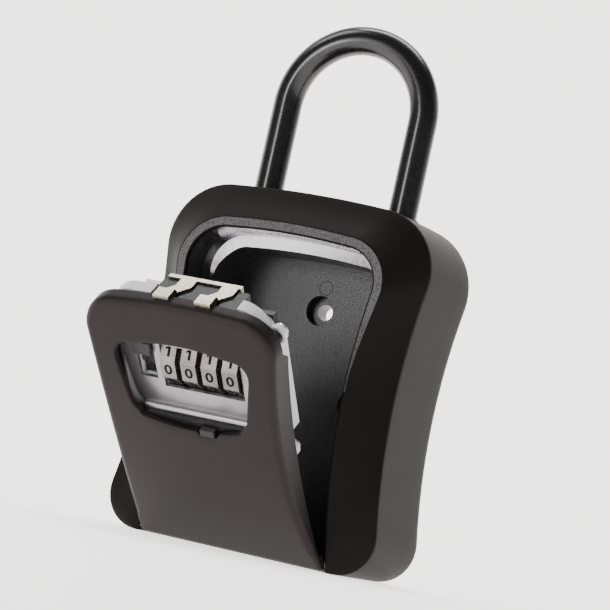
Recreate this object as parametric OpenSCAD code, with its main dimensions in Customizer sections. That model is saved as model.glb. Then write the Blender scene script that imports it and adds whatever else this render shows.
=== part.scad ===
// Portable key lock box: a waisted cast case with a U shackle, and a bottom-hinged door
// that carries four number dials, a twin-tongue latch, an open button and a sliding shutter.
// Millimetres. +Z up, the front faces -Y, the origin is on the base plane, on the plane of
// symmetry, and on the plane of the shackle.

/* [Case] */
// Half width of the case at its waist
case_waist = 36.6; // [35:0.1:39]
// Height of the case without its shackle
case_h = 97.8; // [97:0.1:99]
// Thickness of the case's outer skin
skin_t = 2.6; // [2.2:0.1:2.9]
// Back of the case, measured from the shackle's plane
case_back = 15.4; // [15.2:0.1:17]
// Thickness of the back panel's plate
panel_t = 2.6; // [2:0.1:3]

/* [Shackle] */
// Diameter of the shackle's bar
shackle_d = 8; // [7:0.1:8.2]
// Distance between the middles of the two legs
shackle_span = 41; // [39:0.5:42]
// Height of the middle of the shackle's bow
bow_z = 123.6; // [115:0.1:160]

/* [Door] */
// Angle of the door from closed, as drawn
door_angle = 43; // [0:1:75]
// Thickness of the door's plate
plate_t = 1.6; // [1.4:0.1:1.8]
// Gap between the door and the opening
door_gap = 0.4; // [0.3:0.1:0.6]

/* [Lock] */
// Distance from one dial to the next
dial_pitch = 5.9; // [5.8:0.1:6.0]
// Width of a dial
dial_w = 4.3; // [4:0.1:4.4]
// Radius of a dial over its corners
dial_r = 8.5; // [8:0.1:8.5]
// Travel of the latch and its button
latch_travel = 3.5; // [2.5:0.1:3.8]

/* [Wall fixing] */
// Diameter of the through holes for the wall screws
fix_hole_d = 4.5; // [4:0.1:5]
// Diameter of the recess for a wall screw's head
fix_head_d = 8.4; // [8:0.1:9]
// Distance between the upper and the lower hole
fix_tall = 48; // [44:1:50]
// Distance between the left and the right hole
fix_wide = 30; // [26:1:34]

/* [Hidden] */
$fn = 64;

eps = 0.01;
far = 60;

// The case's outline: a waist arc between a wide foot and a rounded top
waist_z = 47;
waist_r = 200;
case_top_r = 17;
case_foot_r = 10;
crown = 0.8;

// The case's depth: a bevel in front of the crease, and a soft edge behind
crease_y = -16.4;
ledge_w = 2.9;
ledge_from = 46;
ledge_full = 76;
back_soft = 4;

// The opening's outline, which the door fills
open_waist = 25.4;
open_waist_z = 40;
open_waist_r = 300;
open_top = 85.2;
open_top_r = 10;
cavity_floor = 3;
cavity_back = 5.8;
step_y = -10.8;
step_run = 0.8;
step_z = 82.2;
liner_t = 2.2;

// The front of the door and the rim is one large arc, seen from the side
front_r = 206;
front_cy = 179.4;
front_cz = 59.1;
rim_back = 0.6;

// Hinge
hinge_y = -16;
hinge_z = 2.3;
barrel_r = 2;
pin_r = 1.1;
barrel_w = 27.2;
pin_half = 31;
pocket_y = -13.6;

// Back of the lip that the tongues catch behind
lip_back = -23.4;

// Shackle legs, their necks, and the keyhole plate that locks them
leg_x = shackle_span / 2;
leg_foot = 86.6;
leg_hole_r = shackle_d / 2 + 0.25;
neck_r = 2.2;
neck_z = 89.3;
neck_h = 3.4;
lock_z = 89.6;
lock_h = 2.8;
lock_travel = 4.6;
lock_left = -29;
lock_right = 26.3;
lock_depth = 7;
boss_r = 6.6;

// Back panel screws
panel_screw_x = 31.3;
panel_screw_z = [26, 66];
head_sink = 1.6;
fix_mid_z = 45;

// Dials
dial_y = -14.4;
dial_z = 62.6;
dial_mid = 2.45;
dial_x = [for (k = [0:3]) dial_mid + (k - 1.5) * dial_pitch];
shaft_r = 1.5;
sleeve_r = 3.95;
flange_r = 5.2;

// Lock housing
housing_x = 22;
lever_x = -12.6;
housing_front = -20;
housing_back = -5;
housing_foot = 43.5;
rear_top = 72;
rear_half = 15.9;
// Each level of the housing: half width, back, and top
housing_levels = [[22, -16.3, 84], [22, -12.4, 76.5], [22, -10, 73], [rear_half, housing_back, rear_top]];
wall = 1.6;
cheek_left = -10.4;
cheek_right = 14.4;
cheek_t = 1.4;

// Button and latch
button_x = [-16.2, -11];
button_z = [65.8, 69.4];
block_lo = -9.2;
block_hi = 15;
block_back = -12.9;
head_x = [-4.6, 7.1];
head_top = 85.9;
head_w = 4.4;
neck_shift = 2.4;
neck_top = 84.3;
bar_y = [-12.6, -11.3];
stem_x = [-15.5, -12.5];
stem_top = 79;

// Window in the door's plate
win_half = 19;
win_top = 73.2;
win_foot = 47.4;

// Shutter: a curved plate that slides behind the door's plate
shutter_r = front_r - plate_t - 0.35;
shutter_t = 1.2;
shutter_half = 20.3;
shutter_lo = 20;
guide_runs = [[16.5, 38], [43, 74]];
shutter_hi = 49.3;
knob_x = 4.6;
knob_half = 2;

// ---------------------------------------------------------------- outlines

// Points of an arc in the X-Z plane
function arc(cx, cz, r, a0, a1, n) =
    [for (i = [0:n]) let (a = a0 + (a1 - a0) * i / n) [cx + r * cos(a), cz + r * sin(a)]];

// The mirror image of a half outline, in reverse order
function mirrored(half) = [for (i = [len(half) - 1:-1:0]) [-half[i][0], half[i][1]]];

// A waisted outline that rounds into its top and foot by true tangents
function waisted_half(w, wz, wr, top, tr, foot, fr, rise) =
    let (
        cx = w + wr,
        tz = top - rise - tr,
        tx = cx - sqrt(pow(wr + tr, 2) - pow(tz - wz, 2)),
        ta = atan2(wz - tz, cx - tx),
        fz = foot + fr,
        fx = cx - sqrt(pow(wr + fr, 2) - pow(fz - wz, 2)),
        fa = atan2(wz - fz, cx - fx)
    )
    concat(
        arc(fx, fz, fr, -90, fa, 8),
        [for (i = [1:11]) arc(cx, wz, wr, 180 + fa, 180 + ta, 12)[i]],
        arc(tx, tz, tr, ta, 90, 12),
        [[tx / 2, top - rise / 4]]
    );

module waisted(w, wz, wr, top, tr, foot, fr, rise) {
    half = waisted_half(w, wz, wr, top, tr, foot, fr, rise);
    polygon(concat(half, mirrored(half)));
}

// The rim's outer edge: a flat ledge that is widest at the top and fades out at the waist
function ledge_share(z) = let (t = min(1, max(0, (z - ledge_from) / (ledge_full - ledge_from))))
    t * t * (3 - 2 * t);
function both(half) = concat(half, mirrored(half));
function rim_ring(inset, foot) = both(waisted_half(open_waist - inset, open_waist_z, open_waist_r + inset,
    open_top - inset, open_top_r - inset, foot, 1.5, crown));
function ledge_ring() = let (a = rim_ring(0, 0), b = rim_ring(-ledge_w, 0))
    [for (i = [0:len(a) - 1]) a[i] + ledge_share(a[i][1]) * (b[i] - a[i])];
function rim_y(z) = front_cy - sqrt(pow(front_r - rim_back, 2) - pow(z - front_cz, 2));

// Frame between the opening's edge and the crease: its front carries the ledge and the wide bevel
module bevel_frame() {
    inner = rim_ring(1, 1);
    crease = both(waisted_half(case_waist, waist_z, waist_r, case_h, case_top_r, 0, case_foot_r, crown));
    rings = [
        [for (p = inner) [p[0], crease_y, p[1]]],
        [for (p = inner) [p[0], rim_y(p[1]), p[1]]],
        [for (p = ledge_ring()) [p[0], rim_y(p[1]), p[1]]],
        [for (p = crease) [p[0], crease_y, p[1]]]
    ];
    n = len(inner);
    polyhedron(
        [for (ring = rings, p = ring) p],
        [for (i = [0:3], k = [0:n - 1], half = [0:1])
            let (
                a = i * n + k,
                b = i * n + (k + 1) % n,
                c = (i + 1) % 4 * n + (k + 1) % n,
                d = (i + 1) % 4 * n + k
            )
            half == 0 ? [a, b, c] : [a, c, d]]
    );
}

module case_outline(inset = 0)
    waisted(case_waist - inset, waist_z, waist_r + inset, case_h - inset, case_top_r - inset,
        inset, case_foot_r - inset, crown);

module opening_outline(inset = 0, foot = 0)
    waisted(open_waist - inset, open_waist_z, open_waist_r + inset, open_top - inset,
        open_top_r - inset, foot, 1.5, crown);

module window_outline(inset = 0) {
    half = concat(
        arc(0, win_foot + 52 + inset, 52, -90, -74, 5),
        arc(win_half - 6.6, 54.6, 4.4 - inset, -62, -6, 5),
        arc(win_half - 4.5, win_top - 6, 4.5 - inset, -6, 76, 7),
        arc(0, win_top - 60 - inset, 60, 78, 90, 4)
    );
    polygon(concat(half, mirrored(half)));
}

// An X-Z outline made solid between two depths
module slab(y0, y1)
    translate([0, y1, 0]) rotate([90, 0, 0]) linear_extrude(y1 - y0) children();

// A box given by its lowest and highest corners
module box(lo, hi) translate(lo) cube(hi - lo);

// A profile in the Y-Z plane made solid between two places along X
module profile(x0, x1, points)
    translate([x1, 0, 0]) rotate([0, -90, 0])
        linear_extrude(x1 - x0) polygon([for (p = points) [p[1], p[0]]]);

// A round bar along X or along Y
module rod_x(x0, x1, r) translate([x0, 0, 0]) rotate([0, 90, 0]) cylinder(r = r, h = x1 - x0);
module rod_y(y0, y1, r) translate([0, y1, 0]) rotate([90, 0, 0]) cylinder(r = r, h = y1 - y0);

// The large drum whose front is the arc of the door and the rim
module drum(r) translate([0, front_cy, front_cz]) rod_x(-far, far, r, $fn = 360);

// ---------------------------------------------------------------- poses

// Turns a part that is drawn closed into the open door's place
module on_door()
    translate([0, hinge_y, hinge_z]) rotate([door_angle, 0, 0]) translate([0, -hinge_y, -hinge_z])
        children();

// ---------------------------------------------------------------- case

module case_solid() {
    slab(crease_y, case_back - back_soft) case_outline();
    bevel_frame();
    translate([0, case_back - back_soft, case_h / 2]) rotate([-90, 0, 0]) mirror([0, 1, 0])
        linear_extrude(back_soft, scale = 0.955, slices = 1) translate([0, -case_h / 2]) case_outline();
}

module panel_boss_places() for (sx = [-1, 1], z = panel_screw_z) translate([sx * panel_screw_x, 0, z])
    children();

// The cavity's ceiling is lower behind a riser that faces the door
module ceiling_step() profile(-far, far,
    [[step_y, open_top + 1], [step_y, open_top], [step_y + step_run, step_z],
        [cavity_back - 0.3, step_z], [cavity_back - 0.3, open_top + 1]]);

module case_shell() color([0.16, 0.15, 0.15]) difference() {
    union() {
        difference() {
            case_solid();
            // space between the outer skin and the liner, open at the back
            difference() {
                slab(pocket_y, case_back + 1) case_outline(skin_t);
                slab(pocket_y - 1, case_back + 2) opening_outline(-liner_t, cavity_floor - liner_t);
            }
            // nothing is left of the liner behind the back panel's pan
            slab(case_back - panel_t - 1, case_back + 1) case_outline(skin_t);
        }
        intersection() {
            for (sx = [-1, 1]) translate([sx * leg_x, 0, open_top])
                cylinder(r = boss_r, h = case_h - open_top - 1);
            slab(-boss_r, boss_r) case_outline(0.5);
        }
        panel_boss_places() rod_y(pocket_y - 0.5, case_back - panel_t - 0.2, 2.9);
    }
    // cavity and opening
    difference() {
        slab(-far, cavity_back + 12) opening_outline(0, cavity_floor);
        ceiling_step();
    }
    slab(-far, pocket_y) opening_outline(0, -3);
    // rebate behind the rim, deeper where the tongues catch
    slab(lip_back, lip_back + 8) opening_outline(-1, 8);
    box([-9, lip_back, 80], [12, -16, 88]);
    // shackle holes, and the gap that the keyhole plate slides in
    for (sx = [-1, 1]) translate([sx * leg_x, 0, leg_foot - 0.3]) cylinder(r = leg_hole_r, h = 20);
    box([lock_left - 0.4, -lock_depth - 0.3, lock_z - 0.3],
        [lock_right + lock_travel + 0.4, lock_depth + 0.3, lock_z + lock_h + 0.3]);
    // slot for the thumb tab of the keyhole plate
    box([-6.4, 0.8, step_z - 1], [lock_travel + 0.4, 4.6, lock_z]);
    // hinge pin and panel screws
    translate([0, hinge_y, hinge_z]) rod_x(-pin_half, pin_half, pin_r);
    panel_boss_places() rod_y(0, case_back, 1);
}

module fix_places() {
    for (s = [-1, 1]) translate([0, 0, fix_mid_z + s * fix_tall / 2]) children();
    for (s = [-1, 1]) translate([s * fix_wide / 2, 0, fix_mid_z]) children();
}

module back_panel() color([0.24, 0.235, 0.245]) difference() {
    union() {
        slab(case_back - panel_t, case_back) case_outline(skin_t + 0.3);
        difference() {
            slab(cavity_back, case_back - panel_t) opening_outline(0.3, cavity_floor + 0.3);
            slab(cavity_back + 2, case_back) opening_outline(2.4, cavity_floor + 2.4);
        }
        fix_places() rod_y(cavity_back, case_back, fix_head_d / 2 + 1.6);
    }
    slab(cavity_back + 2, case_back - panel_t) difference() {
        opening_outline(2.4, cavity_floor + 2.4);
        for (s = [-1, 1]) translate([0, fix_mid_z + s * fix_tall / 2]) circle(fix_head_d / 2 + 1.6);
        for (s = [-1, 1]) translate([s * fix_wide / 2, fix_mid_z]) circle(fix_head_d / 2 + 1.6);
    }
    fix_places() {
        rod_y(cavity_back - 1, cavity_back + 3.6, fix_head_d / 2);
        rod_y(cavity_back, case_back + 1, fix_hole_d / 2);
    }
    panel_boss_places() rod_y(case_back - 6, case_back + 1, 1.5);
    panel_boss_places() rod_y(case_back - head_sink, case_back + 1, 2.9);
    // the shackle legs' bosses and the lower edge of the case stay clear
    for (sx = [-1, 1]) translate([sx * leg_x, 0, open_top]) cylinder(r = boss_r + 0.3, h = 20);
}

module back_panel_screws() color([0.55, 0.55, 0.57]) panel_boss_places() difference() {
    union() {
        rod_y(2, case_back - head_sink, 1);
        rod_y(case_back - head_sink, case_back - 0.3, 2.7);
    }
    slab(case_back - 1.1, case_back) circle(r = 1.2, $fn = 6);
}

module hinge_pin() color([0.72, 0.72, 0.73])
    translate([0, hinge_y, hinge_z]) rod_x(-pin_half, pin_half, pin_r);

// ---------------------------------------------------------------- shackle

module shackle() color([0.05, 0.05, 0.05]) {
    translate([0, 0, bow_z]) rotate([90, 0, 0]) rotate_extrude(angle = 180)
        translate([leg_x, 0]) circle(r = shackle_d / 2);
    for (sx = [-1, 1]) translate([sx * leg_x, 0, 0]) {
        translate([0, 0, neck_z + neck_h]) cylinder(r = shackle_d / 2, h = bow_z - neck_z - neck_h);
        translate([0, 0, neck_z - 1]) cylinder(r = neck_r, h = neck_h + 2);
        translate([0, 0, leg_foot]) cylinder(r = shackle_d / 2, h = neck_z - leg_foot);
    }
}

// Keyhole plate: drawn free of the necks, and slid towards +X to lock them
module shackle_lock_plate() color([0.62, 0.6, 0.56]) {
    difference() {
        box([lock_left, -lock_depth, lock_z], [lock_right, lock_depth, lock_z + lock_h]);
        for (sx = [-1, 1]) translate([sx * leg_x, 0, lock_z - 1]) {
            cylinder(r = leg_hole_r + 0.1, h = lock_h + 2);
            translate([-lock_travel, 0, 0]) cylinder(r = neck_r + 0.25, h = lock_h + 2);
            translate([-lock_travel, -neck_r - 0.25, 0]) cube([lock_travel, 2 * neck_r + 0.5, lock_h + 2]);
        }
    }
    // thumb tab, flush with the cavity's ceiling
    box([-6, 1.2, step_z + 0.1], [0, 4.2, lock_z + eps]);
}

// ---------------------------------------------------------------- door

module door_block(inset, r, y1) intersection() {
    slab(-far, y1) intersection() {
        opening_outline(door_gap + inset, 0);
        translate([-far, hinge_z + (inset > 0 ? 2 : 0)]) square([2 * far, 2 * far]);
    }
    drum(r);
}

housing_screw_at = [[-22.6, 40.5], [22.6, 40.5], [-24, 76.4], [24, 76.4]];

module door_cover() color([0.17, 0.16, 0.16]) on_door() difference() {
    union() {
        difference() {
            door_block(0, front_r, -18.3);
            difference() {
                union() {
                    door_block(1.5, front_r - plate_t, 0);
                    // the skirt is shallow along the top edge
                    box([-far, -21, 72], [far, 0, 90]);
                }
                for (p = housing_screw_at) translate([p[0], 0, p[1]]) rod_y(-30, -18.3, 1.9);
            }
        }
        translate([0, hinge_y, hinge_z]) rod_x(-barrel_w, barrel_w, barrel_r);
        intersection() {
            box([-barrel_w, -19, hinge_z], [barrel_w, hinge_y, 6]);
            drum(front_r);
        }
    }
    slab(-far, -far + 90) window_outline();
    // notch that the shutter's knob rests in
    box([knob_x - knob_half - 0.6, -30, 46], [knob_x + knob_half + 0.6, -20, 50]);
    translate([0, hinge_y, hinge_z]) rod_x(-far, far, pin_r + 0.05);
    for (p = housing_screw_at) translate([p[0], 0, p[1]]) rod_y(-23, -18, 0.9);
    // gap in the top edge for the latch's block
    box([block_lo - 0.4, -23.3, 78], [block_hi + 0.4, -10, 90]);
    for (sx = [-1, 1]) translate([sx * 25, -19.9, 53.7]) rod_x(-2, 2, 0.9);
}

// Rails that the shutter slides in, one behind each side of the window
module shutter_guide() color([0.08, 0.08, 0.08])
    on_door() for (sx = [0, 1], run = guide_runs) mirror([sx, 0, 0])
    difference() {
        intersection() {
            box([shutter_half - 1.2, -30, run[0]], [shutter_half + 1.8, -10, run[1]]);
            drum(front_r - plate_t);
        }
        drum(shutter_r - shutter_t - 0.35 - 0.7);
        intersection() {
            box([0, -30, 0], [shutter_half + 0.3, 0, 90]);
            difference() {
                drum(front_r);
                drum(shutter_r - shutter_t - 0.35);
            }
        }
    }

plate_y = -20.2;
plate_front = -21.2;
slot_half = 6.5;

module dial_plate() color([0.72, 0.71, 0.73]) on_door() difference() {
    union() {
        slab(plate_front, plate_y) window_outline(-1.4);
        // rounded lower lip
        intersection() {
            translate([0, plate_front, 49]) rod_x(-15.5, 15.5, 1.5);
            box([-20, plate_front - 1.6, 46], [20, plate_y, 52]);
        }
    }
    // one slot for all the dials
    box([dial_x[0] - dial_w / 2 - 0.3, -30, dial_z - slot_half],
        [dial_x[3] + dial_w / 2 + 0.6, -10, dial_z + slot_half]);
    box([stem_x[0] - 0.3, -30, 58.1], [button_x[1] + 0.3, -10, 68.8]);
}

// One level of the housing, or the hollow inside it
module housing_level(l, inset) {
    w = l[0] - inset;
    top = l[2] - inset;
    r = min(7, max(3, l[2] - 70)) - inset / 2;
    half = concat([[w, housing_foot + inset]], arc(w - r, top - r, r, 0, 90, 8));
    slab(housing_front + inset, l[1] - inset) polygon(both(half));
}

cover_screw_at = [[-13, 46.6], [13, 46.6], [-13, 67.4]];

module lock_housing() color([0.87, 0.87, 0.89]) on_door() difference() {
    union() {
        difference() {
            for (l = housing_levels) housing_level(l, 0);
            for (l = housing_levels) housing_level(l, wall);
            // the deep middle is open at the back, for the cover
            box([wall - rear_half, -14, housing_foot + wall], [rear_half - wall, 0, rear_top - 1.2]);
        }
        // cheeks that hold the dial shaft
        for (x = [cheek_left, cheek_right])
            box([x, housing_front + eps, 52], [x + cheek_t, housing_back - 1, rear_top - 1.4]);
        // shelf under the latch's block
        box([block_lo, housing_front + eps, 71.3], [block_hi, -16.5, 72.3]);
        // ears for the screws into the door
        for (p = housing_screw_at) translate([p[0], 0, p[1]]) rod_y(-18, -16.4, 2.4);
        for (sx = [-1, 1]) box([sx * 21.4 - 1.8, -18, 40.5], [sx * 21.4 + 1.8, -16.4, 45]);
        for (p = cover_screw_at) translate([p[0], 0, p[1]]) rod_y(-10.5, housing_back - 1, 1.6);
    }
    // windows for the dials, for the button's stem, and for the latch's arm
    box([dial_x[0] - 2.6, -30, dial_z - 8.8], [dial_x[3] + 3.1, -18, dial_z + 8.2]);
    box([stem_x[0] - 0.4, -30, 57.6], [button_x[1] - 0.2, -18, 70.4]);
    box([stem_x[0] - 0.4, -30, 70], [stem_x[1] + 0.4, -18, stem_top + 2.6]);
    box([stem_x[0] - 0.4, -18.5, 74.6], [block_lo, -10.9, stem_top + 2.6]);
    // the latch's block drops in from the top
    box([block_lo - 0.1, -30, 72.4], [block_hi + 0.1, -10.9, 90]);
    translate([0, dial_y, dial_z]) rod_x(-20, 20, shaft_r);
    for (p = housing_screw_at) translate([p[0], 0, p[1]]) rod_y(-30, 0, 1.1);
    for (p = cover_screw_at) translate([p[0], 0, p[1]]) rod_y(-10, 0, 0.8);
}

// Black guide that the two tongues rise out of
module latch_block() color([0.06, 0.06, 0.06]) on_door() difference() {
    box([block_lo, -22.4, 72.5], [block_hi, block_back, 83.6]);
    for (x = head_x) {
        box([x - head_w / 2 - 0.3, -23.6, 78], [x + head_w / 2 + 0.3, -17.9, 90]);
        translate([0, 0, 79.1]) linear_extrude(11) neck(x, 0.35);
    }
    // the front edge stands back under the door's plate
    box([-20, -23, 72], [20, -19.9, 76]);
}

// Plan of a neck: it steps sideways on its way from the head to the rear bar
module neck(x, gap) {
    w = head_w / 2 + gap;
    front = -18.6 - gap;
    back = bar_y[0] + (gap > 0 ? 3 : eps);
    polygon([
        [x - w, front], [x + w, front], [x + w, -18.2 + gap], [x + w + neck_shift, -15.6 + gap],
        [x + w + neck_shift, back], [x - w + neck_shift, back], [x - w + neck_shift, -15.6 + gap],
        [x - w, -18.2 + gap]
    ]);
}

module latch_bolt() color([0.78, 0.73, 0.63]) on_door() {
    // rear bar, and the arm that the button's stem pulls
    box([block_lo + 1, bar_y[0], stem_top], [block_hi - 2.6, bar_y[1], neck_top]);
    box([stem_x[0], bar_y[0], stem_top], [block_lo + 1 + eps, bar_y[1], stem_top + 2.2]);
    box([stem_x[0], -19.7, stem_top], [stem_x[1], bar_y[0] + eps, stem_top + 2.2]);
    for (x = head_x) {
        // head, with its top sloped down towards the back, and the neck from it to the bar
        profile(x - head_w / 2, x + head_w / 2,
            [[-23, 82], [-23, head_top], [-19.4, head_top], [-18.8, 85.2], [-18.4, neck_top], [-18.4, 82]]);
        translate([0, 0, neck_top - 1.3]) linear_extrude(1.3) neck(x, 0);
    }
}

module open_button() color([0.05, 0.05, 0.05]) on_door() {
    box([button_x[0], -22.6, button_z[0]], [button_x[1], -21.4, button_z[1]]);
    box([stem_x[0], -21.5, button_z[0]], [stem_x[1], -17.2, 68.4]);
    box([stem_x[0], -19.7, button_z[0]], [stem_x[1], -17.2, stem_top]);
    // slide that darkens the slot below the button
    box([stem_x[0], -19.7, 61.8], [button_x[1] - 0.6, -18.4, button_z[0] + eps]);
}

module rear_cover() color([0.13, 0.13, 0.14]) on_door() difference() {
    box([-rear_half, housing_back, housing_foot], [rear_half, housing_back + 1.6, rear_top]);
    // slot for the code-change lever
    box([lever_x - 1.2, -8, 55.5], [lever_x + 1.2, 0, 64.5]);
    for (p = cover_screw_at) translate([p[0], 0, p[1]]) rod_y(-8, 0, 1);
    for (p = cover_screw_at) translate([p[0], 0, p[1]]) rod_y(housing_back + 0.8, 0, 2);
}

module screw_y(y0, y1, r, head_r, head_t) {
    difference() {
        union() {
            rod_y(y0, y1, r);
            rod_y(y1, y1 + head_t, head_r);
        }
        slab(y1 + head_t - 0.6, y1 + head_t + 1) {
            square([2 * head_r - 0.9, 0.6], center = true);
            square([0.6, 2 * head_r - 0.9], center = true);
        }
    }
}

module housing_screws() color([0.7, 0.7, 0.71]) on_door()
    for (p = housing_screw_at) translate([p[0], 0, p[1]]) screw_y(-22.4, -16.4, 0.9, 1.9, 1.1);

module rear_cover_screws() color([0.7, 0.7, 0.71]) on_door()
    for (p = cover_screw_at) translate([p[0], 0, p[1]]) screw_y(-9.5, housing_back + 0.8, 0.8, 1.8, 0.7);

module dial_shaft() color([0.75, 0.75, 0.76]) on_door()
    translate([0, dial_y, dial_z]) rod_x(cheek_left, cheek_right + cheek_t, shaft_r);

// Leaf with one finger behind each dial
module detent_spring() color([0.7, 0.69, 0.66]) on_door() {
    box([dial_x[0] - 2, -5.5, 48], [dial_x[3] + 2, -5.1, 52.5]);
    for (x = dial_x) box([x - 1.3, -5.5, 52], [x + 1.3, -5.1, 64]);
}

// ---------------------------------------------------------------- springs, lever, shutter

// A wound wire: rings of points along a helix, joined into one closed solid
module coil(r, wire, pitch, turns) {
    n = 14 * turns;
    k = 6;
    rings = [for (i = [0:n]) let (a = 360 * i / 14, z = pitch * i / 14)
        [for (j = [0:k - 1]) let (b = 360 * j / k)
            [(r + wire * cos(b)) * cos(a), (r + wire * cos(b)) * sin(a), z + wire * sin(b)]]];
    points = [for (ring = rings, p = ring) p];
    sides = [for (i = [0:n - 1], j = [0:k - 1])
        [i * k + j, i * k + (j + 1) % k, (i + 1) * k + (j + 1) % k, (i + 1) * k + j]];
    polyhedron(points, concat(sides, [[for (j = [k - 1:-1:0]) j]], [[for (j = [0:k - 1]) n * k + j]]));
}

module latch_spring() color([0.75, 0.75, 0.76]) on_door()
    translate([stem_x[0] + 1.5, -14.6, 53]) coil(1.3, 0.28, 2.5, 7);

module code_change_lever() color([0.8, 0.78, 0.72]) on_door() {
    box([lever_x - 0.9, -6.4, 56], [lever_x + 0.9, -1.6, 59]);
    box([lever_x - 1.5, -7.2, 55], [lever_x + 1.5, -5.4, 60]);
}

module shutter() color([0.06, 0.06, 0.06]) on_door() {
    difference() {
        intersection() {
            box([-shutter_half, -30, shutter_lo], [shutter_half, -10, shutter_hi]);
            drum(shutter_r);
        }
        drum(shutter_r - shutter_t);
    }
    // thumb knob at the top edge
    box([knob_x - knob_half, -26.7, 46.7], [knob_x + knob_half, -24, 48.6]);
}

// ---------------------------------------------------------------- dials

module dial(k) color([0.76, 0.74, 0.72]) on_door() translate([dial_x[k], dial_y, dial_z]) difference() {
    translate([-dial_w / 2, 0, 0]) rotate([0, 90, 0]) cylinder(r = dial_r, h = dial_w, $fn = 10);
    rod_x(-far, far, sleeve_r);
}

module dial_sleeve(k) color([0.8, 0.7, 0.45]) on_door() translate([dial_x[k], dial_y, dial_z]) difference() {
    union() {
        rod_x(-dial_w / 2, 2.7, sleeve_r);
        rod_x(dial_w / 2 + 0.1, 2.7, flange_r);
    }
    rod_x(-far, far, shaft_r + 0.06);
    box([-far, -0.8, flange_r - 1.2], [far, 0.8, far]);
}

// ---------------------------------------------------------------- what is drawn

case_shell();
back_panel();
back_panel_screws();
hinge_pin();
shackle();
shackle_lock_plate();
door_cover();
shutter_guide();
dial_plate();
lock_housing();
latch_block();
rear_cover();
housing_screws();
rear_cover_screws();
dial_shaft();
detent_spring();
latch_spring();
latch_bolt();
open_button();
shutter();
code_change_lever();
dial(0);  // dial_1
dial(1);  // dial_2
dial(2);  // dial_3
dial(3);  // dial_4
dial_sleeve(0);  // dial_sleeve_1
dial_sleeve(1);  // dial_sleeve_2
dial_sleeve(2);  // dial_sleeve_3
dial_sleeve(3);  // dial_sleeve_4
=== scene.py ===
"""Looks of the key lock box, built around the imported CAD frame. Sizes in the code are millimetres."""
import math

import bpy
import bmesh
from mathutils import Matrix, Vector


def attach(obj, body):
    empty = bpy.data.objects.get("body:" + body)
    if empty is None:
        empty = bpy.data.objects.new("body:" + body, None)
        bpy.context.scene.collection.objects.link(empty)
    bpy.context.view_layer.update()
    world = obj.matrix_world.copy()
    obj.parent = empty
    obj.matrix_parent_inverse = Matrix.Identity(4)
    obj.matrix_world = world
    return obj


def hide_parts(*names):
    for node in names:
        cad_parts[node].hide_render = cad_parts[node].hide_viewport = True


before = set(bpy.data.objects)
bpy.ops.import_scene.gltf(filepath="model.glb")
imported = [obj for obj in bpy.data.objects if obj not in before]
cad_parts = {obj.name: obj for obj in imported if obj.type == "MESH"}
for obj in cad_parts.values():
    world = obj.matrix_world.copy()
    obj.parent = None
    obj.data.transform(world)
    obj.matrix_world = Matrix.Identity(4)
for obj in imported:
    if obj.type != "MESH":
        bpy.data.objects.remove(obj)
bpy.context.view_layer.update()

MM = 0.001
SAME_POINT = 1e-7

# ------------------------------------------------------------------ dimensions shared with the CAD
CASE = dict(w=36.6, wz=47, wr=200, top=97.8, tr=17, foot=0, fr=10, rise=0.8)
OPEN = dict(w=25.4, wz=40, wr=300, top=85.2, tr=10, foot=0, fr=1.5, rise=0.8)
CASE_BACK, BACK_SOFT, SKIN, REAR_DEPTH = 15.4, 4.0, 2.6, 4.5
CREASE_Y, HOLLOW = -16.4, 0.5
LEDGE_W, LEDGE_FROM, LEDGE_FULL = 2.9, 46.0, 76.0
FRONT_R, FRONT_CY, FRONT_CZ = 206.0, 179.4, 59.1
RIM_R = FRONT_R - 0.6
LIP_BACK, GROOVE_BACK, POCKET_Y = -23.4, -15.4, -13.6
CAVITY_FLOOR, CAVITY_BACK = 3.0, 5.8
STEP_Y, STEP_RUN, STEP_Z, STEP_LOW = -10.8, 0.8, 82.2, 68.0
DOOR_GAP, PLATE_T = 0.4, 1.6
HINGE = (-16.0, 2.3)
DOOR_ANGLE = math.radians(43)
DIAL_Y, DIAL_Z, DIAL_R = -14.4, 62.6, 8.5
DIAL_X = [2.45 + (k - 1.5) * 5.9 for k in range(4)]
LEG_X, LEG_HOLE_R = 20.5, 4.25
KNOB_X, KNOB_HALF = 4.6, 2.0
WIN_HALF, WIN_TOP, WIN_FOOT = 19.0, 73.2, 47.4


def front(z, r=FRONT_R):
    """Depth of the large front arc at a height."""
    return FRONT_CY - math.sqrt(r * r - (z - FRONT_CZ) ** 2)


def on_door(p):
    """Turns a point of the closed door into its place at rest."""
    y, z = p[1] - HINGE[0], p[2] - HINGE[1]
    c, s = math.cos(DOOR_ANGLE), math.sin(DOOR_ANGLE)
    return (p[0], y * c - z * s + HINGE[0], y * s + z * c + HINGE[1])


# ------------------------------------------------------------------ small mesh tools
def new_mesh(name, verts, faces, mats, face_mats=None, place=None, shade_smooth=True):
    """A mesh object in metres from points in millimetres."""
    me = bpy.data.meshes.new(name)
    pts = [place(v) if place else v for v in verts]
    me.from_pydata([Vector(p) * MM for p in pts], [], faces)
    for m in mats:
        me.materials.append(m)
    if face_mats:
        for poly, m in zip(me.polygons, face_mats):
            poly.material_index = m
    ob = bpy.data.objects.new(name, me)
    bpy.context.scene.collection.objects.link(ob)
    bm = bmesh.new()
    bm.from_mesh(me)
    bmesh.ops.remove_doubles(bm, verts=bm.verts, dist=SAME_POINT)
    bmesh.ops.recalc_face_normals(bm, faces=bm.faces)
    bm.to_mesh(me)
    bm.free()
    me.polygons.foreach_set("use_smooth", [shade_smooth] * len(me.polygons))
    return ob


def sharpen(ob, degrees):
    """Smooth shading with hard edges above an angle."""
    me = ob.data
    me.polygons.foreach_set("use_smooth", [True] * len(me.polygons))
    me.set_sharp_from_angle(angle=math.radians(degrees))


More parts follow.
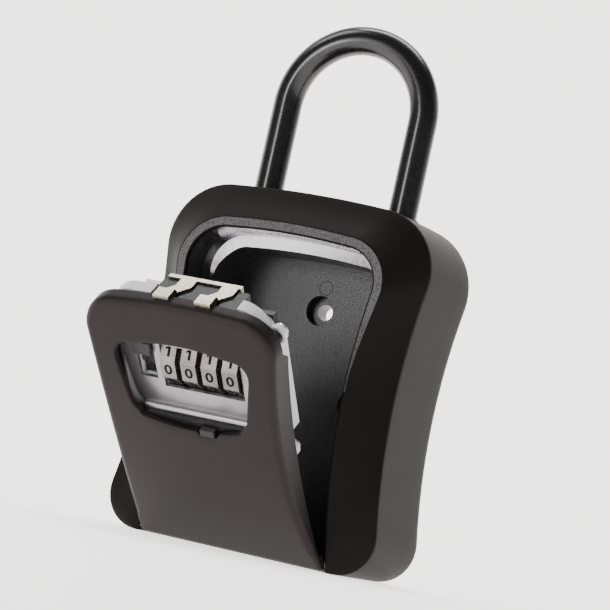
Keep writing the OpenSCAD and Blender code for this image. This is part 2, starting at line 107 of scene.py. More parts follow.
def soften(ob, width, segments=3, degrees=30):
    """Rounds the edges of a part with a bevel, and shades it by its large faces."""
    sharpen(ob, degrees)
    b = ob.modifiers.new("edge", "BEVEL")
    b.width = width * MM
    b.segments = segments
    b.limit_method = "ANGLE"
    b.angle_limit = math.radians(degrees)
    b.use_clamp_overlap = True
    b.harden_normals = True


def bezier(p0, p1, p2, n):
    """Points of a quadratic curve, both ends included."""
    out = []
    for i in range(n + 1):
        t = i / n
        wa, wb, wc = (1 - t) ** 2, 2 * t * (1 - t), t * t
        out.append(tuple(wa * a + wb * b + wc * c for a, b, c in zip(p0, p1, p2)))
    return out


def circle(r, n):
    """Points round a circle."""
    return [(r * math.cos(math.tau * i / n), r * math.sin(math.tau * i / n)) for i in range(n)]


# ------------------------------------------------------------------ outlines
FOOT_N, SIDE_N, TOP_N, CROWN_N = 10, 26, 14, 8
FOOT_TOP = 11.0


def side_x(o, z, inset=0.0):
    """Half width of a waisted outline's side at a height."""
    r = o["wr"] + inset
    return o["w"] - inset + r - math.sqrt(r * r - (z - o["wz"]) ** 2)


def half_outline(o, inset=0.0, straight_foot=False):
    """Right half of a waisted outline, from its foot to the middle of its top."""
    cx = o["w"] + o["wr"]
    wr, tr, fr = o["wr"] + inset, o["tr"] - inset, o["fr"] - inset
    top, foot = o["top"] - inset, o["foot"] + inset
    tz = top - o["rise"] - tr
    tx = cx - math.sqrt((wr + tr) ** 2 - (tz - o["wz"]) ** 2)
    ta = math.atan2(o["wz"] - tz, cx - tx)
    z_top = tz + tr * math.sin(ta)
    pts = []
    if straight_foot:
        z_foot = FOOT_TOP
        for i in range(FOOT_N + 1):
            z = foot + (z_foot - foot) * i / FOOT_N
            pts.append((side_x(o, z, inset), z))
    else:
        fz = foot + fr
        fx = cx - math.sqrt((wr + fr) ** 2 - (fz - o["wz"]) ** 2)
        fa = math.atan2(o["wz"] - fz, cx - fx)
        for i in range(FOOT_N + 1):
            a = -math.pi / 2 + (fa + math.pi / 2) * i / FOOT_N
            pts.append((fx + fr * math.cos(a), fz + fr * math.sin(a)))
        z_foot = pts[-1][1]
    for i in range(1, SIDE_N):
        z = z_foot + (z_top - z_foot) * i / SIDE_N
        pts.append((side_x(o, z, inset), z))
    for i in range(TOP_N + 1):
        a = ta + (math.pi / 2 - ta) * i / TOP_N
        pts.append((tx + tr * math.cos(a), tz + tr * math.sin(a)))
    for i in range(1, CROWN_N + 1):
        x = tx * (1 - i / CROWN_N)
        pts.append((x, top - o["rise"] * (x / tx) ** 2))
    return pts


def whole(half):
    """Both halves, from the right foot over the top to the left foot."""
    return half + [(-x, z) for x, z in half[-2::-1]]


# ------------------------------------------------------------------ materials
def node_material(name):
    """A new material with its node tree and shader."""
    m = bpy.data.materials.new(name)
    m.use_nodes = True
    nt = m.node_tree
    b = nt.nodes["Principled BSDF"]
    return m, nt, b


def grain(nt, scale, detail=2.0, rough=0.5):
    """Noise in object space, so the grain sticks to the part."""
    tc = nt.nodes.new("ShaderNodeTexCoord")
    n = nt.nodes.new("ShaderNodeTexNoise")
    n.inputs["Scale"].default_value = scale
    n.inputs["Detail"].default_value = detail
    n.inputs["Roughness"].default_value = rough
    nt.links.new(tc.outputs["Object"], n.inputs["Vector"])
    return n


def ramp(nt, source, lo, hi, at_lo=0.0, at_hi=1.0):
    """A colour ramp between two colours."""
    r = nt.nodes.new("ShaderNodeValToRGB")
    r.color_ramp.elements[0].position = at_lo
    r.color_ramp.elements[1].position = at_hi
    r.color_ramp.elements[0].color = (*lo, 1)
    r.color_ramp.elements[1].color = (*hi, 1)
    nt.links.new(source, r.inputs["Fac"])
    return r


def bump(nt, b, source, strength, distance):
    """A bump node between a height and the shader."""
    n = nt.nodes.new("ShaderNodeBump")
    n.inputs["Strength"].default_value = strength
    n.inputs["Distance"].default_value = distance
    nt.links.new(source, n.inputs["Height"])
    nt.links.new(n.outputs["Normal"], b.inputs["Normal"])
    return n


def finish_material(name, dark, light, rough, metallic=0.0, tone_scale=60, grain_scale=2500,
                    bump_strength=0.15, bump_distance=0.00005, coat=0.0, coat_rough=0.1,
                    specular=0.5, glint=(1, 1, 1)):
    """Colour that drifts a little, roughness that follows a fine grain, and the same grain as bump."""
    m, nt, b = node_material(name)
    tone = grain(nt, tone_scale, 3.0)
    fine = grain(nt, grain_scale, 2.0, 0.6)
    colour = ramp(nt, tone.outputs["Fac"], dark, light, 0.3, 0.7)
    nt.links.new(colour.outputs["Color"], b.inputs["Base Color"])
    r = ramp(nt, fine.outputs["Fac"], (rough[0],) * 3, (rough[1],) * 3, 0.25, 0.75)
    nt.links.new(r.outputs["Color"], b.inputs["Roughness"])
    b.inputs["Metallic"].default_value = metallic
    b.inputs["Specular IOR Level"].default_value = specular
    b.inputs["Specular Tint"].default_value = (*glint, 1)
    b.inputs["Coat Weight"].default_value = coat
    b.inputs["Coat Roughness"].default_value = coat_rough
    bump(nt, b, fine.outputs["Fac"], bump_strength, bump_distance)
    return m


def textured_coat(name, dark, light, scale, strength, distance, rough):
    """Pebbled paint: rounded cells in the bump, with lighter crests."""
    m, nt, b = node_material(name)
    tc = nt.nodes.new("ShaderNodeTexCoord")
    v = nt.nodes.new("ShaderNodeTexVoronoi")
    v.inputs["Scale"].default_value = scale
    nt.links.new(tc.outputs["Object"], v.inputs["Vector"])
    n = grain(nt, scale * 1.4, 2.0, 0.6)
    mix = nt.nodes.new("ShaderNodeMath")
    mix.operation = "MULTIPLY"
    nt.links.new(v.outputs["Distance"], mix.inputs[0])
    nt.links.new(n.outputs["Fac"], mix.inputs[1])
    colour = ramp(nt, mix.outputs[0], light, dark, 0.05, 0.45)
    nt.links.new(colour.outputs["Color"], b.inputs["Base Color"])
    b.inputs["Roughness"].default_value = rough
    bump(nt, b, mix.outputs[0], strength, distance).invert = True
    return m


WARM_GLINT = (1.0, 0.89, 0.885)
paint = finish_material(
    "case_paint", (0.007, 0.006, 0.0058), (0.0095, 0.0082, 0.008), (0.44, 0.52), tone_scale=30,
    grain_scale=1400, bump_strength=0.25, bump_distance=0.00004, specular=0.06, glint=WARM_GLINT)
door_paint = finish_material(
    "door_paint", (0.0105, 0.0083, 0.008), (0.014, 0.0112, 0.0108), (0.40, 0.48), tone_scale=25,
    grain_scale=1400, bump_strength=0.2, bump_distance=0.00004, specular=0.14, glint=WARM_GLINT)
ledge = textured_coat(
    "ledge_texture", (0.022, 0.022, 0.024), (0.12, 0.117, 0.12), 2300, 0.9, 0.0001, 0.5)
inner_coat = textured_coat(
    "inner_coat", (0.0035, 0.0035, 0.004), (0.026, 0.025, 0.029), 2200, 0.9, 0.00009, 0.33)
inner_smooth = finish_material(
    "inner_smooth", (0.02, 0.02, 0.022), (0.03, 0.03, 0.032), (0.26, 0.32), tone_scale=60,
    grain_scale=2200, bump_strength=0.04)
# painted reflection: a bright metal, unlike the dark inside, laid on the cavity's step and the top of
# its front walls to stand in for the light they reflect
riser_painted_reflection = finish_material(
    "riser_painted_reflection", (0.5, 0.5, 0.515), (0.58, 0.58, 0.595), (0.2, 0.3), metallic=1.0,
    tone_scale=90, grain_scale=1600, bump_strength=0.08)
gloss_black = finish_material(
    "shackle_coat", (0.004, 0.004, 0.0045), (0.006, 0.006, 0.0065), (0.24, 0.3), tone_scale=50,
    grain_scale=500, bump_strength=0.01, coat=0.3, coat_rough=0.1, specular=0.4)
silver = finish_material(
    "satin_silver", (0.27, 0.255, 0.265), (0.35, 0.33, 0.34), (0.28, 0.36), metallic=0.85,
    tone_scale=40, grain_scale=1800, bump_strength=0.12)
nickel = finish_material(
    "dial_nickel", (0.155, 0.14, 0.135), (0.24, 0.225, 0.215), (0.22, 0.34), metallic=0.9,
    tone_scale=200, grain_scale=1500, bump_strength=0.1)
ink = finish_material(
    "dial_ink", (0.003, 0.003, 0.003), (0.005, 0.005, 0.005), (0.6, 0.7), specular=0.08)
latch_metal = finish_material(
    "latch_nickel", (0.30, 0.265, 0.21), (0.38, 0.34, 0.275), (0.24, 0.3), metallic=1.0,
    tone_scale=120, grain_scale=900, bump_strength=0.03)
steel = finish_material(
    "steel", (0.5, 0.5, 0.51), (0.62, 0.62, 0.63), (0.2, 0.32), metallic=1.0, tone_scale=150,
    grain_scale=1500)
spring_steel = finish_material(
    "spring_steel", (0.36, 0.35, 0.34), (0.48, 0.47, 0.45), (0.25, 0.4), metallic=1.0)
brass = finish_material(
    "sleeve_brass", (0.07, 0.048, 0.028), (0.12, 0.085, 0.05), (0.35, 0.5), metallic=0.8)
grey_abs = finish_material(
    "grey_plastic", (0.62, 0.62, 0.65), (0.68, 0.68, 0.71), (0.3, 0.4), tone_scale=60,
    grain_scale=1200, bump_strength=0.15)
black_abs = finish_material(
    "black_plastic", (0.008, 0.008, 0.008), (0.014, 0.0135, 0.013), (0.3, 0.42), tone_scale=90,
    grain_scale=1300, bump_strength=0.2, specular=0.3)


# ------------------------------------------------------------------ case
def rows_to_faces(rows, first=0, closed=False):
    """Quads between neighbouring rows of equally many points."""
    n = len(rows[0])
    faces = []
    for i in range(len(rows) - 1):
        for k in range(n if closed else n - 1):
            a, b = first + i * n + k, first + i * n + (k + 1) % n
            faces.append((a, b, b + n, a + n))
    return faces


def smooth(t):
    """A soft step from 0 to 1."""
    t = min(1.0, max(0.0, t))
    return t * t * (3 - 2 * t)


def lerp(a, b, t):
    """The point part of the way from one point to another."""
    return tuple(u + (v - u) * t for u, v in zip(a, b))


def opening_ring(outset):
    """The opening's outline moved outward, from the right foot over the top to the left foot."""
    return [(x, max(z, 0.0)) for x, z in whole(half_outline(OPEN, inset=-outset, straight_foot=True))]


# which material each face of the case takes; the riser's bright metal is a painted reflection of light
# on the cavity's top front edge and step
COAT, LEDGE, INSIDE, RISER_PAINTED_REFLECTION = 0, 1, 2, 3


def build_case():
    """The casting's skin: cavity, lip, rim, ledge, bevel, side and back rim in one mesh."""
    outer = whole(half_outline(CASE))
    opening, groove = opening_ring(0.0), opening_ring(1.0)
    rows, mats = [], []

    def add(row, mat):
        """Adds a row of points, and the material of the faces that lead up to it."""
        rows.append(row)
        mats.append(mat)

    # inside wall of the cavity, its front groove, and the lip
    for y, ring in ((POCKET_Y, opening), (GROOVE_BACK, opening), (GROOVE_BACK, groove)):
        add([(x, y, z) for x, z in ring], INSIDE)
    # near the feet the front curves back, and the lip stays just behind it
    lip_least, lip_most = 0.7, 1.2
    add([(x, max(LIP_BACK, front(z, RIM_R) + lip_least + 0.2), z) for x, z in groove], INSIDE)
    row = []
    for x, z in opening:
        y = front(z, RIM_R)
        row.append((x, max(min(LIP_BACK, y + lip_most), y + lip_least), z))
    add(row, INSIDE)
    # rounded inner edge of the rim
    edge_r, edge_steps = 0.5, 4
    for i in range(edge_steps + 1):
        a = math.pi / 2 * i / edge_steps
        out = edge_r * (1 - math.cos(a))
        back = edge_r * (1 - math.sin(a))
        add([(x, front(z, RIM_R) + back, z) for x, z in opening_ring(out)], COAT)
    # flat ledge, which fades out at the waist, and the edge where the bevel starts
    least_ledge = 0.25
    slim, full = opening_ring(edge_r + least_ledge), opening_ring(LEDGE_W)
    rim = []
    for a, b in zip(slim, full):
        x, z = lerp(a, b, smooth((a[1] - LEDGE_FROM) / (LEDGE_FULL - LEDGE_FROM)))
        rim.append((x, front(z, RIM_R), z))
    start = opening_ring(edge_r)
    for t in (0.12, 0.35, 0.6, 0.8):
        row = []
        for (x, z), e in zip(start, rim):
            q = lerp((x, z), (e[0], e[2]), t)
            row.append((q[0], front(q[1], RIM_R), q[1]))
        add(row, LEDGE)
    crease = [(p[0], CREASE_Y, p[1]) for p in outer]

    def bevel(k, t):
        """A point of the bevel, from the rim at 0 to the crease at 1."""
        q = lerp(rim[k], crease[k], t)
        # hollow above, but full at the very foot, where it covers the ends of the hinge pin
        depth = HOLLOW * (smooth((q[2] - 6) / 12) + smooth((q[2] - 3) / 5) - 1)
        return (q[0], q[1] + depth * math.sin(math.pi * t), q[2])

    lip_round, crease_round, steps = 0.05, 0.03, 5
    curves = []
    for k, ((x, z), e) in enumerate(zip(start, rim)):
        q = lerp((x, z), (e[0], e[2]), 0.86)
        curves.append(bezier((q[0], front(q[1], RIM_R), q[1]), e, bevel(k, lip_round), steps))
    for i in range(steps + 1):
        add([c[i] for c in curves], LEDGE if i < 2 else COAT)
    bevel_steps, side_steps = 9, 7
    for i in range(1, bevel_steps):
        t = lip_round + (1 - crease_round - lip_round) * i / bevel_steps
        add([bevel(k, t) for k in range(len(outer))], COAT)
    side_y = CREASE_Y + 1.1
    curves = [bezier(bevel(k, 1 - crease_round), crease[k], (x, side_y, z), side_steps)
              for k, (x, z) in enumerate(outer)]
    for i in range(side_steps + 1):
        add([c[i] for c in curves], COAT)
    n = len(outer)
    verts = [v for row in rows for v in row]
    faces = rows_to_faces(rows)
    face_mats = []
    for i in range(len(rows) - 1):
        for k in range(n - 1):
            mat = mats[i + 1]
            if mat == LEDGE and opening[k][1] < LEDGE_FROM:
                mat = COAT
            # the top of the cavity's front walls gets the bright metal of the painted reflection
            face_mats.append(RISER_PAINTED_REFLECTION if i < 3 and opening[k][1] > STEP_Z else mat)

    # closed part behind the pocket: outer side, back rim
    mid = CASE["top"] / 2
    foot_cells = 12

    def with_foot(ring, z):
        """Closes a ring along the case's foot."""
        x = ring[0][0]
        return ring + [(-x + 2 * x * i / foot_cells, z) for i in range(1, foot_cells)]

    ring = with_foot(outer, 0.0)
    base = len(verts)
    tail = [[(x, y, z) for x, z in ring] for y in (side_y, POCKET_Y, -9.0, -4.0, 1.0, 6.0)]
    soft_steps, soft_pull = 6, 0.045
    for i in range(soft_steps + 1):
        a = math.pi / 2 * i / soft_steps
        k = 1 - soft_pull * (1 - math.cos(a))
        y = CASE_BACK - BACK_SOFT + BACK_SOFT * math.sin(a)
        tail.append([(x * k, y, mid + (z - mid) * k) for x, z in ring])
    rear_ring = with_foot(whole(half_outline(CASE, inset=SKIN)), SKIN)
    tail.append([(x, CASE_BACK, z) for x, z in rear_ring])
    tail.append([(x, CASE_BACK - REAR_DEPTH, z) for x, z in rear_ring])
    verts += [v for row in tail for v in row]
    tail_faces = rows_to_faces(tail, base, closed=True)
    m = len(ring)
    # in front of the pocket's wall the bottom is open
    keep = [f for i, f in enumerate(tail_faces) if not (i < m and i % m >= n - 1)]
    faces += keep
    face_mats += [COAT] * len(keep)

    def flat(points, mat):
        """Adds one flat face."""
        i = len(verts)
        verts.extend(points)
        faces.append(tuple(range(i, i + len(points))))
        face_mats.append(mat)

    # undersides of the two feet in front of the pocket, then the pocket's wall and the cavity's floor
    for end in (0, n - 1):
        flat([row[end] for row in rows] + [(outer[end][0], POCKET_Y, 0.0)], COAT)
    ox, inner_y = opening[0][0], CAVITY_BACK + 2
    flat([(-ox, POCKET_Y, 0), (ox, POCKET_Y, 0), (ox, POCKET_Y, CAVITY_FLOOR),
          (-ox, POCKET_Y, CAVITY_FLOOR)], INSIDE)
    flat([(-ox, POCKET_Y, CAVITY_FLOOR), (ox, POCKET_Y, CAVITY_FLOOR), (ox, inner_y, CAVITY_FLOOR),
          (-ox, inner_y, CAVITY_FLOOR)], INSIDE)
    # behind the riser the cavity is smaller, round the upper corners too
    small = opening_ring(STEP_Z - OPEN["top"])
    share = [smooth((z - STEP_LOW) / (STEP_Z - STEP_LOW)) for x, z in opening]
    inner = []
    for y, reach in ((POCKET_Y, 0), (STEP_Y, 0), (STEP_Y + STEP_RUN, 1), (-2.0, 1), (inner_y, 1)):
        moved = [lerp(a, b, reach * k) for a, b, k in zip(opening, small, share)]
        inner.append([(x, y, max(z, CAVITY_FLOOR)) for x, z in moved])
    f = rows_to_faces(inner, len(verts))
    verts += [v for row in inner for v in row]
    faces += f
    for i in range(len(f)):
        row, k = divmod(i, n - 1)
        # the step's slope, and the wall in front of it above the step, get the bright metal of the
        # painted reflection
        gets_painted_reflection = (row == 1 and share[k] > 0.02) or (row == 0 and opening[k][1] > STEP_Z)
        face_mats.append(RISER_PAINTED_REFLECTION if gets_painted_reflection else INSIDE)
    return new_mesh("case_body", verts, faces, [paint, ledge, inner_smooth, riser_painted_reflection], face_mats)


case = build_case()
sharpen(case, 32)
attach(case, "case")
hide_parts("case_shell")


# ------------------------------------------------------------------ door
DOOR_BACK, DOOR_TOP_BACK, SKIRT_T = -18.3, -21.0, 1.5
NOTCH_BELOW = 52.0


def window_edge():
    """The window's outline as a closed loop of points in X and Z."""
    def arc(cx, cz, r, a0, a1, n):
        turn = [math.radians(a0 + (a1 - a0) * i / n) for i in range(n + 1)]
        return [(cx + r * math.cos(a), cz + r * math.sin(a)) for a in turn]

    half = arc(0, WIN_FOOT + 52, 52, -90, -74, 12) + arc(WIN_HALF - 6.6, 54.6, 4.4, -62, -6, 12)
    half += arc(WIN_HALF - 4.5, WIN_TOP - 6, 4.5, -6, 76, 12) + arc(0, WIN_TOP - 60, 60, 78, 90, 8)
    return half + [(-x, z) for x, z in half[-2:0:-1]]


def seen_from(centre, point, loop):
    """Where the ray from a centre through a point leaves a loop."""
    dx, dz = point[0] - centre[0], point[1] - centre[1]
    best = None
    for (ax, az), (bx, bz) in zip(loop, loop[1:] + loop[:1]):
        ex, ez = bx - ax, bz - az
        det = dx * ez - dz * ex
        if abs(det) < 1e-9:
            continue
        fx, fz = ax - centre[0], az - centre[1]
        t = (fx * ez - fz * ex) / det
        u = (fx * dz - fz * dx) / det
        if t > 0 and -1e-6 <= u <= 1 + 1e-6 and (best is None or t < best):
            best = t
    return (centre[0] + dx * best, centre[1] + dz * best)


def build_door():
    """The door's cover with its window, skirt, hinge barrel and screw bosses."""
    centre = (0.0, 60.0)
    foot_cells = 40

    def ring(inset, foot):
        """The cover's outline moved inward, closed along its foot."""
        half = whole(half_outline(OPEN, inset=DOOR_GAP + inset, straight_foot=True))
        half = [(x, max(z, foot)) for x, z in half]
        x = half[0][0]
        return half + [(-x + 2 * x * i / foot_cells, foot) for i in range(1, foot_cells)]

    edge = ring(0.0, HINGE[1])
    shell = ring(SKIRT_T, HINGE[1] + SKIRT_T)
    loop = window_edge()
    window = []
    notch_depth, notch_half, notch_slope = 1.3, KNOB_HALF + 1.4, 1.2
    for p in edge:
        x, z = seen_from(centre, p, loop)
        # shallow notch in the window's foot that the shutter's knob rests in
        if z < NOTCH_BELOW:
            z -= notch_depth * smooth((notch_half - abs(x - KNOB_X)) / notch_slope)
        window.append((x, z))

    def skirt_back(z):
        """Depth of the skirt's back edge at a height."""
        y = DOOR_BACK + (DOOR_TOP_BACK - DOOR_BACK) * smooth((z - 71) / 2)
        return max(y, front(z) + PLATE_T)

    rows = [[(x, skirt_back(z), z) for x, z in edge]]
    # side of the skirt, then a round edge onto the front
    fillet, steps = 1.9, 7

    def edge_radius(z):
        """The round edge is smaller where the skirt is shallow."""
        return min(fillet, 0.8 * (skirt_back(z) - front(z)))

    for i in range(steps + 1):
        a = math.pi / 2 * i / steps
        row = []
        for (x, z), s in zip(edge, ring(fillet, HINGE[1])):
            r = edge_radius(z)
            k = r / fillet * (1 - math.cos(a))
            q = lerp((x, z), s, k)
            row.append((q[0], front(q[1]) + r * (1 - math.sin(a)), q[1]))
        rows.append(row)
    turned = [lerp(e, s, edge_radius(e[1]) / fillet) for e, s in zip(edge, ring(fillet, HINGE[1]))]
    lip, lip_steps, face_steps = 0.45, 4, 14
    window_out = []
    for x, z in window:
        k = 1 + lip / math.hypot(x, z - centre[1])
        window_out.append((centre[0] + (x - centre[0]) * k, centre[1] + (z - centre[1]) * k))
    for i in range(1, face_steps + 1):
        t = i / face_steps
        row = []
        for a, b in zip(turned, window_out):
            x, z = lerp(a, b, t)
            row.append((x, front(z), z))
        rows.append(row)
    for i in range(1, lip_steps + 1):
        a = math.pi / 2 * i / lip_steps
        row = []
        for w, o in zip(window, window_out):
            x, z = lerp(o, w, math.sin(a))
            row.append((x, front(z) + lip * (1 - math.cos(a)), z))
        rows.append(row)
    rows.append([(x, front(z, FRONT_R - PLATE_T), z) for x, z in window])
    for t in (0.25, 0.5, 0.75, 1.0):
        row = []
        for a, b in zip(window, shell):
            x, z = lerp(a, b, t)
            row.append((x, min(front(z, FRONT_R - PLATE_T), skirt_back(z) + 0.01), z))
        rows.append(row)
    rows.append([(x, skirt_back(z), z) for x, z in shell])
    rows.append(rows[0])
    verts = [v for row in rows for v in row]
    faces = rows_to_faces(rows, closed=True)

    def tube(axis_rows):
        """Adds a turned solid from its rings."""
        base, n = len(verts), len(axis_rows[0])
        verts.extend(v for row in axis_rows for v in row)
        faces.extend(rows_to_faces(axis_rows, base, closed=True))
        faces.append(tuple(range(base, base + n)))
        faces.append(tuple(range(len(verts) - n, len(verts))))

    # hinge barrel with chamfered ends
    barrel = []
    for x, r in ((-27.2, 1.6), (-26.8, 2.0), (26.8, 2.0), (27.2, 1.6)):
        barrel.append([(x, HINGE[0] + u, HINGE[1] + v) for u, v in circle(r, 32)])
    tube(barrel)
    # bosses for the housing's screws
    for cx, cz in ((-22.6, 40.5), (22.6, 40.5), (-24, 76.4), (24, 76.4)):
        tube([[(cx + u, y, cz + v) for u, v in circle(r, 24)]
              for y, r in ((front(cz) + 0.9, 1.9), (-18.5, 1.9), (DOOR_BACK, 1.7))])
    return new_mesh("door_plate", verts, faces, [door_paint], place=on_door)


door = build_door()
sharpen(door, 38)
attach(door, "door")
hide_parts("door_cover")


# ------------------------------------------------------------------ numbers on the dials
NUMBER_SIZE, NUMBER_STRETCH, NUMBER_WEIGHT = 4.0, 1.15, 0.09


def number_mesh(text, size):
    """Points and faces of a number, centred, flat in X and Y, in millimetres."""
    curve = bpy.data.curves.new("number", "FONT")
    curve.body = text
    curve.size = size
    curve.align_x = "CENTER"
    curve.align_y = "CENTER"
    curve.offset = NUMBER_WEIGHT
    curve.resolution_u = 6
    ob = bpy.data.objects.new("number", curve)
    bpy.context.scene.collection.objects.link(ob)
    bpy.context.view_layer.update()
    me = bpy.data.meshes.new_from_object(ob.evaluated_get(bpy.context.evaluated_depsgraph_get()))
    points = [tuple(v.co) for v in me.vertices]
    faces = [tuple(p.vertices) for p in me.polygons]
    bpy.data.objects.remove(ob)
    bpy.data.curves.remove(curve)
    bpy.data.meshes.remove(me)
    xs, ys = [p[0] for p in points], [p[1] for p in points]
    cx, cy = (min(xs) + max(xs)) / 2, (min(ys) + max(ys)) / 2
    return [(x - cx, y - cy) for x, y, _ in points], faces


# the font's one is a plain bar, so it gets its own outline with a flag
ONE = [(-0.15, -1.42), (0.45, -1.42), (0.45, 1.42), (0.05, 1.42), (-0.75, 0.8), (-0.75, 0.25),
       (-0.15, 0.65)]
numbers = [number_mesh(str(k), NUMBER_SIZE) for k in range(10)]
numbers[1] = (ONE, [tuple(range(len(ONE)))])


def build_numbers(dial):
    """Ten thin raised numbers, one on each facet; the zero faces the front."""
    flat_r, raised, sunk = DIAL_R * math.cos(math.pi / 10), 0.05, 0.05
    verts, faces = [], []
    for value, (points, tris) in enumerate(numbers):
        a = math.tau * value / 10
        normal, up_dir = (-math.cos(a), math.sin(a)), (math.sin(a), math.cos(a))
        for height in (-sunk, raised):
            base = len(verts)
            for x, y in points:
                verts.append((DIAL_X[dial] + NUMBER_STRETCH * x,
                              DIAL_Y + normal[0] * (flat_r + height) + up_dir[0] * y,
                              DIAL_Z + normal[1] * (flat_r + height) + up_dir[1] * y))
            faces += [tuple(base + i for i in t) for t in tris]
        edges = {}
        for t in tris:
            for a0, b0 in zip(t, t[1:] + t[:1]):
                edges[(a0, b0)] = edges.get((a0, b0), 0) + 1
        low = base - len(points)
        for a0, b0 in edges:
            if (b0, a0) not in edges:
                faces.append((low + a0, low + b0, base + b0, base + a0))
    return new_mesh(f"dial_numbers_{dial + 1}", verts, faces, [ink], place=on_door, shade_smooth=False)


for k in range(4):
    marks = build_numbers(k)
    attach(marks, f"dial_{k + 1}_set")


# ------------------------------------------------------------------ small marks
def ring_mesh(name, centre, axis, r_in, r_out, height, material):
    """A low flat ring with rounded shoulders; axis is y or z."""
    verts, faces, n = [], [], 48
    shoulder = (r_out - r_in) / 2 * 0.4
    section = [(r_in, 0.0), (r_in + shoulder, height), (r_out - shoulder, height), (r_out, 0.0),
               (r_out, -height), (r_in, -height)]
    for r, h in section:
        for u, v in circle(r, n):
            verts.append((centre[0] + u, centre[1] - h, centre[2] + v) if axis == "y"
                         else (centre[0] + u, centre[1] + v, centre[2] + h))
    m = len(section)
    for k in range(m):
        low, high = k * n, (k + 1) % m * n
        for i in range(n):
            j = (i + 1) % n
            faces.append((low + i, low + j, high + j, high + i))
    return new_mesh(name, verts, faces, [material])


# the moulding mark above the upper wall hole
mark = ring_mesh("ejector_mark", (0.4, CAVITY_BACK, 75.4), "y", 1.85, 2.05, 0.06, black_abs)
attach(mark, "case")
# grommets where the legs enter the case
for side, x in (("left", -LEG_X), ("right", LEG_X)):
    grommet = ring_mesh(f"leg_ring_{side}", (x, 0.0, CASE["top"] - 0.75), "z", LEG_HOLE_R,
                        LEG_HOLE_R + 0.35, 0.12, black_abs)
    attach(grommet, "case")


# ------------------------------------------------------------------ finishes of the CAD's own meshes
def dress(node, material, width=None, segments=2, degrees=35):
    """Gives a CAD part its material and, with a width, rounded edges."""
    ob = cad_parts[node]
    ob.data.materials.clear()
    ob.data.materials.append(material)
    if width:
        soften(ob, width, segments, degrees)
    else:
        sharpen(ob, degrees)


dress("back_panel", inner_coat, 0.2)
dress("back_panel_screws", steel, 0.12)
dress("hinge_pin", steel)
dress("shackle", gloss_black)
dress("shackle_lock_plate", steel, 0.1)
dress("shutter_guide", black_abs)
dress("dial_plate", silver, 0.2)
dress("lock_housing", grey_abs, 0.3)
dress("latch_block", black_abs, 0.3)
dress("rear_cover", black_abs, 0.2)
dress("housing_screws", steel, 0.1)
dress("rear_cover_screws", steel, 0.1)
dress("dial_shaft", steel)
dress("detent_spring", spring_steel)
dress("latch_spring", spring_steel)
dress("latch_bolt", latch_metal, 0.15)
dress("open_button", black_abs, 0.3)
dress("shutter", black_abs, 0.25)
dress("code_change_lever", latch_metal, 0.2)
for k in range(1, 5):
    dress(f"dial_{k}", nickel, 0.25)
    dress(f"dial_sleeve_{k}", brass)

# ------------------------------------------------------------------ floor, lights, camera
# the photograph's viewing direction, and the roll of its camera, in degrees
VIEW_AZ, VIEW_EL, VIEW_ROLL = 25.08, -4.25, -12.46
FLOOR_NEAR, FLOOR_FAR, FLOOR_HALF, SWEEP_R, WALL_TOP = -2.5, 0.35, 6.0, 2.2, 3.2
profile = [(FLOOR_NEAR, 0.0), (0.0, 0.0), (FLOOR_FAR, 0.0)]
SWEEP_STEPS = 32
for i in range(1, SWEEP_STEPS + 1):
    a = math.pi / 2 * i / SWEEP_STEPS
    profile.append((FLOOR_FAR + SWEEP_R * math.sin(a), SWEEP_R * (1 - math.cos(a))))
profile.append((FLOOR_FAR + SWEEP_R, WALL_TOP))
view_turn = Matrix.Rotation(math.radians(VIEW_AZ), 4, "Z")
sweep = bpy.data.meshes.new("floor")
pts = []
for x in (-FLOOR_HALF, FLOOR_HALF):
    pts += [view_turn @ Vector((x, y, z)) for y, z in profile]
count = len(profile)
sweep.from_pydata(pts, [], [(i, i + 1, count + i + 1, count + i) for i in range(count - 1)])
sweep.polygons.foreach_set("use_smooth", [True] * len(sweep.polygons))
floor = bpy.data.objects.new("floor", sweep)
bpy.context.scene.collection.objects.link(floor)
floor_mat, nt, b = node_material("floor_pale")
n = grain(nt, 6, 2.0)
c = ramp(nt, n.outputs["Fac"], (0.86, 0.825, 0.82), (0.90, 0.865, 0.86), 0.3, 0.7)
nt.links.new(c.outputs["Color"], b.inputs["Base Color"])
b.inputs["Roughness"].default_value = 0.6
b.inputs["Emission Color"].default_value = (1.0, 0.965, 0.955, 1)
b.inputs["Emission Strength"].default_value = 1.7
sweep.materials.append(floor_mat)

world = bpy.data.worlds.new("studio")
bpy.context.scene.world = world
world.use_nodes = True
world.node_tree.nodes["Background"].inputs["Color"].default_value = (1.0, 0.985, 0.98, 1)
world.node_tree.nodes["Background"].inputs["Strength"].default_value = 0.14


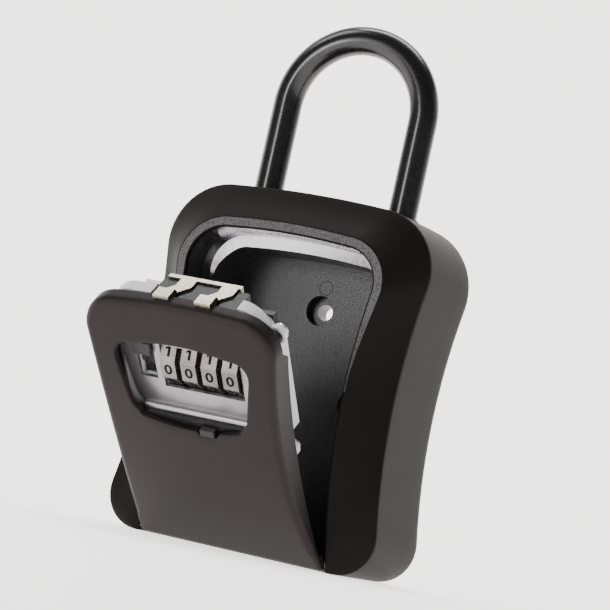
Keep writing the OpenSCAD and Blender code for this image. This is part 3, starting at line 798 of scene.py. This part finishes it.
def softbox(name, place, target, size, watts):
    """A flat rectangular light aimed at a point."""
    light = bpy.data.lights.new(name, "AREA")
    light.shape = "RECTANGLE"
    light.size, light.size_y = size
    light.energy = watts
    ob = bpy.data.objects.new(name, light)
    ob.location = place
    aim = Vector(target) - Vector(place)
    ob.rotation_euler = aim.to_track_quat("-Z", "Y").to_euler()
    bpy.context.scene.collection.objects.link(ob)


AIM = (0, 0, 0.07)
softbox("key", (-0.75, -0.35, 0.95), AIM, (0.5, 0.5), 4.2)
softbox("side", (1.0, 0.55, 0.5), AIM, (0.4, 0.8), 0.8)
softbox("low_front", (-0.21, -0.75, 0.11), (0, 0, 0.08), (0.16, 0.3), 2.2)
wall = Vector((math.sin(math.radians(-VIEW_AZ)), math.cos(math.radians(VIEW_AZ)), 0))
softbox("wall", tuple(wall * 0.6 + Vector((0, 0, 2.2))), tuple(wall * 1.9 + Vector((0, 0, 0.6))),
        (2.0, 1.0), 70)

cam_data = bpy.data.cameras.new("camera")
cam = bpy.data.objects.new("camera", cam_data)
bpy.context.scene.collection.objects.link(cam)
bpy.context.scene.camera = cam
CAM_AT = Vector((298.2, -641.7, 16.7)) * MM
AZ, EL, ROLL = math.radians(VIEW_AZ), math.radians(VIEW_EL), math.radians(VIEW_ROLL)
back = Vector((math.sin(AZ) * math.cos(EL), -math.cos(AZ) * math.cos(EL), math.sin(EL)))
forward = -back
right0 = forward.cross(Vector((0, 0, 1))).normalized()
up0 = right0.cross(forward)
up = math.cos(ROLL) * up0 + math.sin(ROLL) * right0
right = forward.cross(up)
cam.matrix_world = Matrix((
    (right.x, up.x, back.x, CAM_AT.x),
    (right.y, up.y, back.y, CAM_AT.y),
    (right.z, up.z, back.z, CAM_AT.z),
    (0, 0, 0, 1)))
SENSOR, LENS_TO_FRAME = 36, 2600 / 610
cam_data.sensor_width = SENSOR
cam_data.lens = SENSOR * LENS_TO_FRAME
cam_data.clip_start = 0.01
cam_data.clip_end = 20

bpy.context.view_layer.update()
